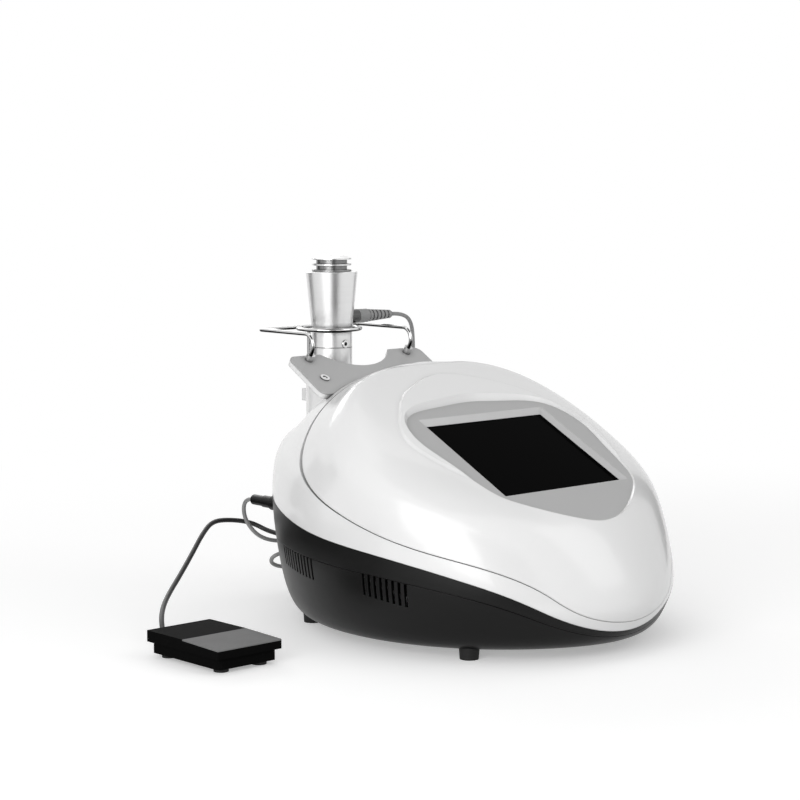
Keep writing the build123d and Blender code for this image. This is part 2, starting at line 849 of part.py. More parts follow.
with BuildPart() as button_screws:
    for side in (-1, 1):
        with Locations(plate_plane.location * Location((side * button_screw_x, -button_screw_back, 0))):
            Cylinder(button_radius, button_height, align=upward)
            Cylinder(screw_radius, plate_skin + plate_arm, align=(Align.CENTER, Align.CENTER, Align.MAX))
        with Locations(
            plate_plane.location * Location((side * button_screw_x, -button_screw_back, button_height))
        ):
            Cylinder(button_recess, button_height, mode=Mode.SUBTRACT)
save(button_screws, "button_screws")

with BuildPart() as rod_collars:
    for side in (-1, 1):
        with Locations(plate_plane.location * Location((side * post_x, 0, 0))):
            Cylinder(collar_radius, collar_height, align=upward)
            Cylinder(rod_radius, collar_height * 3, mode=Mode.SUBTRACT)
save(rod_collars, "rod_collars")

# Wire rest: one bent rod from collar to collar, a ring round the handpiece and a leg into the cup
rack_front_y = plate_y - (rack_z - plate_z) * tan(radians(plate_tilt))
with BuildPart() as wire_rest:
    add(
        wire(
            [(-post_x, plate_y, plate_z), (-post_x, rack_front_y, rack_z), (-post_x, rack_rear_y, rack_z),
             (post_x, rack_rear_y, rack_z), (post_x, rack_front_y, rack_z), (post_x, plate_y, plate_z)],
            [rack_front_bend, rack_rear_bend, rack_rear_bend, rack_front_bend],
            rod_radius,
        )
    )
    with Locations((0, rack_rear_y - ring_radius, rack_z)):
        Torus(ring_radius, rod_radius)
    with Locations((0, rack_rear_y, leg_end_z)):
        Cylinder(rod_radius, rack_z - leg_end_z, align=upward)
save(wire_rest, "wire_rest")

# Handpiece: turned metal pieces on one upright axis, with the socket on its right
cup_axis = (0, cup_y, 0)
up = (0, 0, 1)
socket_axis = (0, cup_y, plug_z)
to_right = (1, 0, 0)
to_nose = (0, -1, 0)
tube_radius = bore_radius + barrel_wall
socket_bore = turned(socket_axis, to_right, [(0, 0), (socket_radius, 0),
                                             (socket_radius, cut_reach), (0, cut_reach)])
screw_bore = turned((0, cup_y, lock_screw_z), to_nose, [(0, 0), (lock_screw_radius, 0),
                                                       (lock_screw_radius, cut_reach), (0, cut_reach)])
feed_bore = turned(socket_axis, to_right, [(0, 0), (feed_radius, 0), (feed_radius, cut_reach), (0, cut_reach)])

save(turned(cup_axis, up, [(0, cap_low_z), (cap_radius - 1, cap_low_z), (cap_radius, cap_low_z + 1),
                           (cap_radius, sleeve_low_z), (0, sleeve_low_z)]), "end_cap")

with BuildPart() as sleeve:
    add(turned(cup_axis, up, [
        (tube_radius, sleeve_low_z), (sleeve_radius, sleeve_low_z), (sleeve_radius, joint_groove_z - 0.4),
        (sleeve_radius - 0.6, joint_groove_z - 0.4), (sleeve_radius - 0.6, joint_groove_z + 0.4),
        (sleeve_radius, joint_groove_z + 0.4), (sleeve_radius, sleeve_high_z), (tube_radius, sleeve_high_z),
    ]))
    add(screw_bore, mode=Mode.SUBTRACT)
save(sleeve, "sleeve")

with BuildPart() as barrel:
    add(turned(cup_axis, up, [(bore_radius, sleeve_low_z), (tube_radius, sleeve_low_z),
                              (tube_radius, grip_high_z), (bore_radius, grip_high_z)]))
    add(feed_bore, mode=Mode.SUBTRACT)
save(barrel, "barrel")

with BuildPart() as grip:
    add(turned(cup_axis, up, [
        (tube_radius, sleeve_high_z), (neck_radius, sleeve_high_z), (neck_radius, grip_low_z),
        (grip_low_radius, grip_low_z), (grip_high_radius, grip_high_z - 1), (grip_high_radius - 1, grip_high_z),
        (tube_radius, grip_high_z),
    ]))
    add(socket_bore, mode=Mode.SUBTRACT)
save(grip, "grip")

disc_z = grip_high_z + head_disc_thick + head_disc_pitch
head_top_z = disc_z + head_disc_pitch
save(turned(cup_axis, up, [
    (head_bore, grip_high_z), (head_disc_radius, grip_high_z),
    (head_disc_radius, grip_high_z + head_disc_thick),
    (head_neck_radius, grip_high_z + head_disc_thick), (head_neck_radius, disc_z - head_disc_thick),
    (head_disc_radius, disc_z - head_disc_thick), (head_disc_radius, disc_z), (head_neck_radius, disc_z),
    (head_neck_radius, head_top_z - head_disc_thick), (head_bore, head_top_z - head_disc_thick),
]), "nozzle_head")
save(turned(cup_axis, up, [
    (nozzle_radius, head_top_z - head_disc_thick), (head_disc_radius, head_top_z - head_disc_thick),
    (head_disc_radius, head_top_z), (nozzle_cone, head_top_z + nozzle_rise),
    (nozzle_radius, head_top_z + nozzle_rise),
]), "nozzle_cap")
save(turned((0, cup_y, lock_screw_z), to_nose, [
    (0, tube_radius), (lock_screw_radius, tube_radius), (lock_screw_radius, lock_screw_face - 0.4),
    (lock_screw_radius - 0.4, lock_screw_face), (lock_recess, lock_screw_face),
    (lock_recess, lock_screw_face - 2), (0, lock_screw_face - 2),
]), "lock_screw")
with BuildPart() as mixing_core:
    add(turned(cup_axis, up, [(0, core_low_z), (core_radius, core_low_z), (core_radius, grip_high_z),
                              (head_bore, grip_high_z), (head_bore, plug_z), (0, plug_z)]))
    add(feed_bore, mode=Mode.SUBTRACT)
save(mixing_core, "mixing_core")
save(turned(socket_axis, to_right, [(0, core_radius - 2), (feed_radius, core_radius - 2),
                                    (feed_radius, tube_radius + 0.5), (socket_radius, tube_radius + 0.5),
                                    (socket_radius, socket_end), (0, socket_end)]), "handpiece_socket")
relief_start = socket_end + plug_length
save(turned(socket_axis, to_right, [
    (0, socket_end), (plug_radius, socket_end), (plug_radius, relief_start - 1.5),
    (plug_radius - 1, relief_start), (0, relief_start),
]), "cable_plug")


def relief_outline():
    # Ribbed sleeve that tapers to the cable
    pitch = relief_length / relief_ribs
    outline = [(0, relief_start)]
    for rib in range(relief_ribs):
        radius = relief_low_radius + (relief_high_radius - relief_low_radius) * rib / relief_ribs
        start = relief_start + rib * pitch
        valley = radius - rib_depth
        for reach, share in ((radius, 0), (radius, 0.6), (valley, 0.62), (valley, 0.98)):
            outline.append((reach, start + share * pitch))
    outline.append((lead_diameter / 2 + 0.6, relief_start + relief_length))
    outline.append((0, relief_start + relief_length))
    return outline


save(turned(socket_axis, to_right, relief_outline()), "cable_relief")

# Leads and inner hoses
for name, thickness, route in (
    ("handpiece_lead", lead_diameter, handpiece_route),
    ("foot_lead", foot_lead_diameter, foot_route),
    ("socket_hose", hose_diameter, hose_route),
):
    radii = bend_radii(route)
    print(name, "arc radii", [round(r, 1) for r in radii])
    save(wire(route, radii, thickness / 2), name)
with BuildPart() as pump_hose:
    with Locations(Location((pump_x, pump_head_front_y, hose_z), (90, 0, 0))):
        Cylinder(hose_radius, pump_head_front_y - valve_rear_y, align=upward)
save(pump_hose, "pump_hose")

# Foot switch, its places measured from its own middle
pedal_middle = Location((pedal_x, pedal_y, 0))
half_w, half_l = pedal_width / 2, pedal_length / 2
base_half_w, base_half_l = half_w - pedal_inset, half_l - pedal_inset
pin_y = half_l - pin_inset
lid_under_z = pedal_top_z - pedal_lid_thick

with BuildPart() as pedal_feet:
    with Locations(pedal_middle):
        with GridLocations(pedal_width - 2 * pedal_foot_inset, pedal_length - 2 * pedal_foot_inset, 2, 2):
            Cylinder(pedal_foot_radius, pedal_foot, align=upward)
save(pedal_feet, "pedal_feet")

with BuildPart() as pedal_base:
    with BuildSketch(Plane.XY.offset(pedal_foot)):
        RectangleRounded(base_half_w * 2, base_half_l * 2, 4)
    extrude(amount=pedal_base_top - pedal_foot)
    with BuildSketch(Plane.XY.offset(pedal_foot + pedal_wall)):
        RectangleRounded((base_half_w - pedal_wall) * 2, (base_half_l - pedal_wall) * 2, 3)
    extrude(amount=cut_reach, mode=Mode.SUBTRACT)
    for side in (-1, 1):
        with Locations((side * lug_x, pin_y, pedal_foot)):
            Box(lug_width, lug_length, lug_top_z - pedal_foot, align=upward)
        with Locations(Location((side * lug_x, pin_y, pin_z), (0, 90, 0))):
            Cylinder(pin_radius, lug_width + 1, mode=Mode.SUBTRACT)
    with Locations(Location((0, base_half_l, pedal_gland_z), (90, 0, 0))):
        Cylinder(pedal_gland_radius, 10, mode=Mode.SUBTRACT)
save_moved(pedal_base, pedal_middle, "pedal_base")

with BuildPart() as pedal_pin:
    with Locations(Location((0, pin_y, pin_z), (0, 90, 0))):
        Cylinder(pin_radius, 2 * lug_x + lug_width)
save_moved(pedal_pin, pedal_middle, "pedal_pin")


def lid_profile(shrink, drop):
    # Side view of the lid: flat at the rear, falling to the front, in (y, z)
    low = pedal_skirt_z - shrink
    return [(-half_l + shrink, low), (-half_l + shrink, pedal_top_z - pedal_nose_drop - drop),
            (0, pedal_top_z - drop), (half_l - shrink, pedal_top_z - drop), (half_l - shrink, low)]


def lid_block(shrink, drop):
    with BuildPart() as block:
        with BuildSketch(Plane.YZ):
            with BuildLine():
                Polyline(*lid_profile(shrink, drop), close=True)
            make_face()
        extrude(amount=half_w - shrink, both=True)
    return block.part


with BuildPart() as lid_outer:
    add(lid_block(0, 0))
    fillet(lid_outer.edges().filter_by(Axis.Z), lid_corner)

with BuildPart() as pedal_lid:
    add(lid_outer.part)
    add(lid_block(pedal_lid_thick, pedal_lid_thick), mode=Mode.SUBTRACT)
    for side in (-1, 1):
        with Locations((side * ear_x, pin_y, ear_low_z)):
            Box(ear_width, ear_length, lid_under_z - ear_low_z + 0.5, align=upward)
        with Locations(Location((side * ear_x, pin_y, pin_z), (0, 90, 0))):
            Cylinder(pin_radius + fit_gap, ear_width + 1, mode=Mode.SUBTRACT)

# The tread is the top of the lid's front half
with BuildPart() as pedal_tread:
    add(lid_outer.part)
    with Locations((0, tread_rear_y, 0)):
        Box(pedal_width * 2, pedal_length, cut_reach, align=(Align.CENTER, Align.MIN, Align.CENTER),
            mode=Mode.SUBTRACT)
    add(lid_block(0, tread_thick), mode=Mode.SUBTRACT)
with BuildPart() as lid_cut:
    add(pedal_lid.part)
    add(pedal_tread.part, mode=Mode.SUBTRACT)
save_moved(lid_cut, pedal_middle, "pedal_lid")
save_moved(pedal_tread, pedal_middle, "pedal_tread")

switch_y = pin_y - switch_reach
with BuildPart() as pedal_switch:
    with Locations((0, switch_y, pedal_foot + pedal_wall)):
        Box(switch_width, switch_depth, switch_top_z - pedal_foot - pedal_wall, align=upward)
    with Locations((0, switch_y, switch_top_z)):
        Cylinder(plunger_radius + fit_gap, plunger_sunk * 2, mode=Mode.SUBTRACT)
save_moved(pedal_switch, pedal_middle, "pedal_switch")
plunger_low_z = switch_top_z - plunger_sunk + plunger_room
with BuildPart() as switch_plunger:
    with Locations((0, switch_y, plunger_low_z)):
        Cylinder(plunger_radius, plunger_top_z - plunger_low_z, align=upward)
save_moved(switch_plunger, pedal_middle, "switch_plunger")

spring_low_z = pedal_foot + pedal_wall + spring_wire / 2
spring_height = lid_under_z - spring_clear - spring_wire / 2 - spring_low_z
with BuildPart() as return_spring:
    with BuildLine() as coil:
        Helix(spring_height / spring_turns, spring_height, spring_radius,
              center=(0, pin_y - spring_reach, spring_low_z))
    with BuildSketch(Plane(origin=coil.line @ 0, z_dir=coil.line % 0)):
        Circle(spring_wire / 2)
    sweep(is_frenet=True)
save_moved(return_spring, pedal_middle, "return_spring")

save(turned((pedal_x, pedal_y + base_half_l - pedal_wall, pedal_gland_z), back, [
    (0, 0), (pedal_gland_radius, 0), (pedal_gland_radius, pedal_wall + 2), (2.9, pedal_gland_length),
    (0, pedal_gland_length)]), "pedal_gland")

# Chassis inside the housing, with standoffs for the board and saddles for the pump
motor_z = chassis_z + chassis_thick + motor_rise
with BuildPart() as chassis:
    with Locations((0, (chassis_front_y + chassis_rear_y) / 2, chassis_z)):
        Box(chassis_width, chassis_rear_y - chassis_front_y, chassis_thick,
            align=upward)
    with Locations((pump_x, motor_front_y + saddle_inset, chassis_z),
                   (pump_x, motor_rear_y - saddle_inset, chassis_z)):
        Box(saddle_width, saddle_thick, motor_z - chassis_z, align=upward)
    with Locations(*board_posts):
        Cylinder(post_radius, board_rise + chassis_thick, align=upward)
    with Locations(Location((pump_x, motor_front_y, motor_z), (90, 0, 0))):
        Cylinder(motor_radius, 2 * cut_reach, mode=Mode.SUBTRACT)
    with Locations(*[(x, y, chassis_z) for x, y in boss_places]):
        Cylinder(screw_radius, cut_reach, mode=Mode.SUBTRACT)
save(chassis, "chassis")

deck_z = chassis_z + chassis_thick
with BuildPart() as pump_motor:
    with Locations(Location((pump_x, motor_front_y, motor_z), (-90, 0, 0))):
        Cylinder(motor_radius, motor_rear_y - motor_front_y, align=upward)
save(pump_motor, "pump_motor")
with BuildPart() as pump_head:
    with Locations((pump_x, (pump_head_front_y + motor_front_y) / 2, motor_z)):
        Box(pump_head_size, motor_front_y - pump_head_front_y, pump_head_size)
    fillet(pump_head.edges().filter_by(Axis.Y), pump_head_round)
save(pump_head, "pump_head")

with BuildPart() as valve_block:
    with Locations((pump_x, valve_y, deck_z)):
        Box(valve_width, 2 * (valve_rear_y - valve_y), valve_height, align=upward)
save(valve_block, "valve_block")
with BuildPart() as valve_coil:
    with Locations((pump_x, valve_y, deck_z + valve_height)):
        Cylinder(coil_radius, coil_height, align=upward)
        Cylinder(coil_core_radius, coil_core_height, align=upward)
save(valve_coil, "valve_coil")

with BuildPart() as power_supply:
    with Locations((supply_x, supply_y, deck_z)):
        Box(supply_width, supply_length, supply_height, align=upward)
    with Locations((supply_x, supply_y, deck_z + supply_height)):
        with GridLocations(0, supply_slot_pitch, 1, supply_slot_count):
            Box(supply_slot_length, supply_slot_width, supply_slot_depth, mode=Mode.SUBTRACT)
save(power_supply, "power_supply")

board_z = chassis_z + board_rise + chassis_thick
with BuildPart() as control_board:
    with Locations((board_x, board_y, board_z)):
        Box(board_width, board_length, board_thick, align=upward)
    with Locations((board_x, board_y, board_z), (board_x + chip_x, board_y + chip_y, board_z)):
        Box(chip_size, chip_size, chip_height, align=upward)
    with Locations((board_x + strip_x, board_y, board_z)):
        Box(strip_width, strip_length, strip_height, align=upward)
save(control_board, "control_board")

# Cooling fan: a frame with a spider and a pin, and the rotor that turns on it
fan_z = deck_z + fan_size / 2
fan_mid_y = (fan_front_y + fan_rear_y) / 2
with BuildPart() as fan_frame:
    with Locations((0, fan_mid_y, fan_z)):
        Box(fan_size, fan_rear_y - fan_front_y, fan_size)
    with Locations(Location((0, fan_mid_y, fan_z), (90, 0, 0))):
        Cylinder(fan_radius + fan_bore_gap, cut_reach, mode=Mode.SUBTRACT)
    with Locations(Location((0, fan_rear_y, fan_z), (90, 0, 0))):
        Cylinder(hub_radius, fan_arm_thick, align=upward)
        Cylinder(pin_radius, fan_rear_y - fan_front_y - fan_arm_thick, align=upward)
    for turn in (90, 210, 330):
        with Locations(Location((0, fan_rear_y - fan_arm_thick / 2, fan_z)) * Location((0, 0, 0), (0, turn, 0))
                       * Location((fan_radius / 2 + fan_arm_width, 0, 0))):
            Box(fan_radius - fan_arm_width, fan_arm_thick, fan_arm_width)
save(fan_frame, "fan_frame")

with BuildPart() as fan_rotor:
    with Locations(Location((0, fan_rear_y - 3.6, fan_z), (90, 0, 0))):
        Cylinder(hub_radius, fan_rear_y - fan_front_y - 5, align=upward)
    for blade in range(blade_count):
        with Locations(Location((0, blade_y, fan_z)) * Location((0, 0, 0), (0, blade * 360 / blade_count, 0))
                       * Location(((fan_radius + hub_radius) / 2 - 0.5, 0, 0), (blade_pitch, 0, 0))):
            Box(fan_radius - hub_radius + 1, blade_thick, blade_chord)
    with Locations(Location((0, fan_mid_y, fan_z), (90, 0, 0))):
        Cylinder(pin_radius + fit_gap, cut_reach, mode=Mode.SUBTRACT)
save(fan_rotor, "fan_rotor")
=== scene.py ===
# %% [markdown]
# A tabletop facial console: an egg-shaped white and black housing with a sloping touchscreen,
# a turned metal handpiece that stands in a cup behind a chrome wire rest, and a foot switch on a
# lead. The solid pieces come from the imported model, already in place and at their real size.
# This script gives them their finishes, draws the two soft leads, and sets the studio.

# %% Load the solid model and its record
import bpy
import bmesh
import json
from math import cos, radians, sin
from mathutils import Matrix, Vector


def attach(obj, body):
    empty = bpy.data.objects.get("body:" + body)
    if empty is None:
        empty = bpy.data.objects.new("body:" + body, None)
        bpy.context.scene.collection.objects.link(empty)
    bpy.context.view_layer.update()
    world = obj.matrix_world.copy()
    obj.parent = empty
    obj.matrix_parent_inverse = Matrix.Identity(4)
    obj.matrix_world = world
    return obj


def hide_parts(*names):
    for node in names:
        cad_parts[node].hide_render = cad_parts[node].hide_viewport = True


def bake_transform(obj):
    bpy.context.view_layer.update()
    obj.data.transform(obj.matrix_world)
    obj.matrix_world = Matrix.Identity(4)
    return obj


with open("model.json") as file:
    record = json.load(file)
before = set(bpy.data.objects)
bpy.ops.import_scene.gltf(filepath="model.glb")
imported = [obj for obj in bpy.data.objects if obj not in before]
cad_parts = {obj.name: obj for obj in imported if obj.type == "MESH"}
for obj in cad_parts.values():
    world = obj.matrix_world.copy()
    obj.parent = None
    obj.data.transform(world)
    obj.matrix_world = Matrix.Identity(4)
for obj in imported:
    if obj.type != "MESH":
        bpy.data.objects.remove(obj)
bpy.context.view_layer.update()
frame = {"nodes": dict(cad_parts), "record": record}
nodes = frame["nodes"]
scene = bpy.context.scene
scene.view_settings.view_transform = "Standard"
MM = 0.001

# %% [markdown]
# The camera comes first, because everything else is judged by what it sees. The photograph
# looks down a little from the front left, through a long lens, so the near and far sides of the
# housing are almost the same scale. Its place was solved from the screen's four corners.

# %% Camera at the photograph's viewing angle
camera_data = bpy.data.cameras.new("camera")
camera = bpy.data.objects.new("camera", camera_data)
scene.collection.objects.link(camera)
camera.location = (-1.49767, -1.51544, 0.45685)
camera_azimuth, camera_pitch = radians(-42.57), radians(6.22)
camera_back = Vector((
    sin(camera_azimuth) * cos(camera_pitch),
    -cos(camera_azimuth) * cos(camera_pitch),
    sin(camera_pitch),
))
camera.rotation_mode = "QUATERNION"
camera.rotation_quaternion = (-camera_back).to_track_quat("-Z", "Y")
camera_data.sensor_width = 36
camera_data.lens = 97.71
camera_data.clip_end = 50
scene.camera = camera
print("camera looks along", [round(v, 3) for v in -camera_back])

# %% [markdown]
# Shader maths reads best as arithmetic. The small class below wraps a socket, and adding to it,
# multiplying it or raising it to a power adds the Math node that does so.

# %% Arithmetic on shader sockets


class Wire:
    """One socket of a finish, on which arithmetic adds Math nodes."""

    def __init__(self, finish, socket):
        self.finish = finish
        self.socket = socket

    def maths(self, operation, other):
        return self.finish.node("Math", {"operation": operation}, {0: self, 1: other})

    def __add__(self, other):
        return self.maths("ADD", other)

    def __mul__(self, other):
        return self.maths("MULTIPLY", other)

    def __pow__(self, other):
        return self.maths("POWER", other)

    __radd__ = __add__
    __rmul__ = __mul__


# %% [markdown]
# A finish is a material around the Principled shader. One method makes any other node from its
# type, its settings and the values of its sockets, and the rest are the few patterns that the
# finishes share: noise for grain and clouds, a bump that also rounds the edges, an ambient
# occlusion that paints shade into seams and recesses, and a blend of two colours.

# %% Finishes and the patterns that they share


class Finish:
    """A material with its shader, in which nodes are made by one method."""

    def __init__(self, name, color, roughness, metallic=0.0, **sockets):
        self.material = bpy.data.materials.new(name)
        self.material.use_nodes = True
        self.tree = self.material.node_tree
        self.shader = self.tree.nodes["Principled BSDF"]
        self.place = self.node("TexCoord", output="Object")
        self.set("Base Color", (*color, 1))
        self.set("Roughness", roughness)
        self.set("Metallic", metallic)
        for socket, value in sockets.items():
            self.set(socket.replace("_", " "), value)

    def put(self, socket, value):
        if isinstance(value, Wire):
            self.tree.links.new(value.socket, socket)
        else:
            socket.default_value = value

    def set(self, name, value):
        self.put(self.shader.inputs[name], value)

    def node(self, kind, settings=None, sockets=None, output=0):
        made = self.tree.nodes.new("ShaderNode" + kind)
        for name, value in (settings or {}).items():
            setattr(made, name, value)
        for name, value in (sockets or {}).items():
            self.put(made.inputs[name], value)
        return Wire(self, made.outputs[output])

    def noise(self, scale, detail=2.0, stretch=(1, 1, 1)):
        place = self.node("Mapping", {}, {"Vector": self.place, "Scale": stretch})
        return self.node("TexNoise", {}, {"Vector": place, "Scale": scale, "Detail": detail})

    def bump(self, height, strength, depth, edge=0.0):
        """Relief of a depth in metres. An edge above 0 rounds every edge by that radius."""
        sockets = {"Height": height, "Strength": strength, "Distance": depth}
        if edge:
            sockets["Normal"] = self.node("Bevel", {"samples": 6}, {"Radius": edge})
        self.set("Normal", self.node("Bump", {}, sockets))

    def painted_occlusion(self, reach):
        """1 on open surfaces, and less in seams, folds and recesses: ambient occlusion for
        painted shade.
        """
        return self.node("AmbientOcclusion", {"samples": 8}, {"Distance": reach}, output="AO")

    def shade(self, dark, light, amount):
        self.set("Base Color", self.node("Mix", {"data_type": "RGBA"}, {
            0: amount, 6: (*dark, 1), 7: (*light, 1),
        }, output=2))


def grey(level):
    return (level, level, level)


# %% [markdown]
# The finishes of the housing. The upper shells are moulded white plastic with a deep gloss:
# a light base at low roughness under a clear coat, and a very faint waviness that moulded shells
# always have. No moulded edge is sharp, so each finish rounds its edges a little with a Bevel
# node, which bends the normals near an edge and lets it catch the light. Seams, grooves and the
# foot of a step get painted shade: an ambient occlusion measure darkens the colour there, where
# little light gets in.

# %% White and grey mouldings
white = Finish("glossy_white", grey(0.79), 0.24, Coat_Weight=0.35, Coat_Roughness=0.06)
shell_waves = white.noise(14.0, detail=1.0)
white.bump(shell_waves, strength=0.04, depth=2 * MM, edge=1.6 * MM)
white.set("Roughness", 0.22 + white.noise(60.0) * 0.05)
# Painted shade: the white darkens in seams, grooves and folds.
white.shade(grey(0.1), grey(0.8), white.painted_occlusion(6 * MM))

panel = Finish("satin_grey", grey(0.39), 0.42, Specular_IOR_Level=0.3)
panel_grain = panel.noise(900.0, detail=3.0)
panel.bump(panel_grain, strength=0.08, depth=0.4 * MM, edge=0.6 * MM)
panel_clouds = panel.noise(25.0) * 0.1 + 0.95
# Painted shade: the grey darkens near the frame and under the hood's edge; the clouds vary its
# tone.
panel.shade(grey(0.14), grey(0.45), panel.painted_occlusion(8 * MM) * panel_clouds)

silver = Finish("silver_bevel", grey(0.5), 0.3, metallic=0.5)
silver_grain = silver.noise(700.0, detail=3.0)
silver.bump(silver_grain, strength=0.05, depth=0.3 * MM, edge=0.5 * MM)
print("housing finishes", white.material.name, panel.material.name, silver.material.name)

# %% [markdown]
# The base is the same moulding in satin black. Black plastic is mostly its reflections, so the
# specular level is kept low and even, and the grain is what spreads it. The screen is a sheet of
# coated glass over a dark display: almost no reflection, and a few cloudy patches in its gloss
# where hands have wiped it.

# %% Black mouldings and glass
black = Finish("satin_black", grey(0.004), 0.36, Specular_IOR_Level=0.2)
black_grain = black.noise(1400.0, detail=4.0)
black.bump(black_grain, strength=0.1, depth=0.3 * MM, edge=0.8 * MM)
black.set("Roughness", 0.32 + black.noise(40.0) * 0.08)

glass = Finish("black_glass", grey(0.0), 0.12, Specular_IOR_Level=0.004)
glass.set("Roughness", 0.1 + glass.noise(30.0, detail=4.0) * 0.06)
print("dark finishes", black.material.name, glass.material.name)

# %% [markdown]
# The metals of the handpiece. It is turned on a lathe, which leaves rings so fine that they only
# spread the highlight. Noise that is squeezed along the axis draws them, and a slower noise,
# squeezed less, makes the streaks in which turned metal differs from place to place. Its grooves
# and recesses get painted shade from the occlusion.

# %% Turned aluminium
turned = Finish("turned_aluminium", grey(0.74), 0.3, metallic=1.0)
turned_rings = turned.noise(40.0, detail=6.0, stretch=(1, 1, 60))
turned.bump(turned_rings, strength=0.1, depth=0.3 * MM, edge=0.5 * MM)
turned.set("Roughness", 0.26 + turned_rings * 0.1)
turned_streaks = turned.noise(12.0, detail=2.0, stretch=(1, 1, 30)) * 0.12 + 0.94
# Painted shade: the metal's colour darkens in the grooves between the head's fins.
turned.shade(grey(0.03), grey(0.76), turned.painted_occlusion(8 * MM) ** 2 * turned_streaks)
print("turned rings and streaks", turned.material.name)

# %% [markdown]
# The wire rest is chrome, a mirror whose colour carries a painted reflection: bright above and
# painted black below, as if it looked down into the dark of the room. The part of the normal that
# points up tells the two sides apart, and its recesses get painted shade. The small fittings are
# chrome with a trace of dust that dulls the reflection here and there, with painted shade in
# their recesses, and the socket of the handpiece's lead is darker.

# %% Chrome of the rest, its fittings and the lead's socket
chrome = Finish("chrome", grey(0.7), 0.04, metallic=1.0)
# Painted shade: the fittings' colour darkens in their recesses and collars.
chrome.shade(grey(0.02), grey(0.7), chrome.painted_occlusion(4 * MM) ** 2)
chrome.set("Roughness", 0.03 + chrome.noise(120.0, detail=4.0) ** 3 * 0.2)

wire_chrome = Finish("wire_chrome", grey(0.65), 0.04, metallic=1.0)
# Painted reflection: the colour goes dark where the normal points down, and painted shade darkens
# recesses.
wire_normal = wire_chrome.node("TexCoord", output="Normal")
wire_up = wire_chrome.node("SeparateXYZ", {}, {"Vector": wire_normal}, output="Z")
painted_reflection_mask = wire_chrome.node("MapRange", {}, {
    "Value": wire_up, "From Min": -0.2, "From Max": 0.1,
})
wire_chrome.shade(grey(0.005), grey(0.65), wire_chrome.painted_occlusion(4 * MM) * painted_reflection_mask)

dark_chrome = Finish("dark_chrome", grey(0.1), 0.2, metallic=1.0)
dark_chrome.set("Roughness", 0.18 + dark_chrome.noise(120.0, detail=4.0) * 0.06)
print("chromes", chrome.material.name, wire_chrome.material.name, dark_chrome.material.name)

# %% [markdown]
# The metals inside, which show only through the vents and where the housing is opened: brass
# pins, plain steel with a grain along its length, and the mottled grey of zinc-coated sheet.

# %% Brass, steel and zinc
brass = Finish("brass", (0.6, 0.42, 0.14), 0.3, metallic=1.0)
brass_grain = brass.noise(200.0, detail=4.0)
brass.bump(brass_grain, strength=0.08, depth=0.3 * MM, edge=0.4 * MM)

steel = Finish("plain_steel", grey(0.5), 0.35, metallic=1.0)
steel_grain = steel.noise(300.0, detail=4.0, stretch=(1, 1, 8))
steel.bump(steel_grain, strength=0.1, depth=0.3 * MM)

zinc = Finish("zinc_sheet", (0.48, 0.5, 0.5), 0.45, metallic=0.8)
zinc.shade((0.42, 0.44, 0.44), (0.55, 0.56, 0.55), zinc.noise(60.0, detail=5.0))
print("inner metals", brass.material.name, steel.material.name, zinc.material.name)

# %% [markdown]
# Rubber and cable jackets are dull and slightly dusty, and the foot switch has the fine even
# grain of a spark-eroded mould. Its tread is the same grain in a lighter grey.

# %% Rubber, cable jackets and the foot switch
rubber = Finish("black_rubber", grey(0.01), 0.6, Specular_IOR_Level=0.25)
rubber_grain = rubber.noise(1200.0, detail=4.0)
rubber.bump(rubber_grain, strength=0.2, depth=0.4 * MM, edge=0.6 * MM)
rubber.shade(grey(0.008), grey(0.016), rubber.noise(90.0, detail=4.0))

cable_grey = Finish("grey_cable", grey(0.24), 0.42)
cable_grain = cable_grey.noise(900.0, detail=3.0)
cable_grey.bump(cable_grain, strength=0.1, depth=0.3 * MM, edge=0.3 * MM)
cable_dust = cable_grey.noise(70.0, detail=3.0) * 0.16 + 0.92
# Painted shade: the grooves between the ribs of the strain relief darken; the noise is dust.
cable_grey.shade(grey(0.02), grey(0.26), cable_grey.painted_occlusion(4 * MM) ** 2 * cable_dust)

cable_black = Finish("black_cable", grey(0.02), 0.42, Specular_IOR_Level=0.35)
cable_black.bump(cable_black.noise(900.0, detail=3.0), strength=0.1, depth=0.3 * MM)

mould_grain_scale = 2200.0
pedal_black = Finish("pedal_black", grey(0.004), 0.5, Specular_IOR_Level=0.005)
pedal_grain = pedal_black.noise(mould_grain_scale)
pedal_black.bump(pedal_grain, strength=0.3, depth=0.4 * MM, edge=0.5 * MM)

tread = Finish("tread_grey", grey(0.18), 0.6, Specular_IOR_Level=0.05)
tread.bump(tread.noise(mould_grain_scale), strength=0.35, depth=0.4 * MM)
tread.shade(grey(0.16), grey(0.2), tread.noise(45.0, detail=3.0))
print("soft finishes", rubber.material.name, cable_grey.material.name, tread.material.name)

# %% [markdown]
# What is left lies inside: black mouldings, the milky hoses of the pump, and the control board,
# whose tracks are wavy bands of two greens.

# %% Inner mouldings, control board and hoses
inner_black = Finish("inner_black", grey(0.03), 0.5)
inner_black.bump(inner_black.noise(800.0), strength=0.1, depth=0.3 * MM)

board = Finish("circuit_board", (0.02, 0.14, 0.05), 0.4)
tracks = board.node("TexWave", {"wave_type": "BANDS"}, {
    "Vector": board.place, "Scale": 60.0, "Distortion": 3.0,
})
track_mask = board.node("SeparateColor", {}, {"Color": tracks})
board.shade((0.02, 0.12, 0.04), (0.05, 0.22, 0.08), track_mask)

hose_clear = Finish("milky_hose", grey(0.6), 0.3, Transmission_Weight=0.3)
hose_clear.bump(hose_clear.noise(500.0), strength=0.1, depth=0.3 * MM)
print("inner finishes", board.material.name, hose_clear.material.name)

# %% [markdown]
# The solid pieces whose shape is right keep their meshes and get a finish in their material
# slots. The first table below goes by the record's own slots, so a piece that is added later to
# a slot is dressed without another line here. The second one names the pieces that look
# different from the rest of their slot.

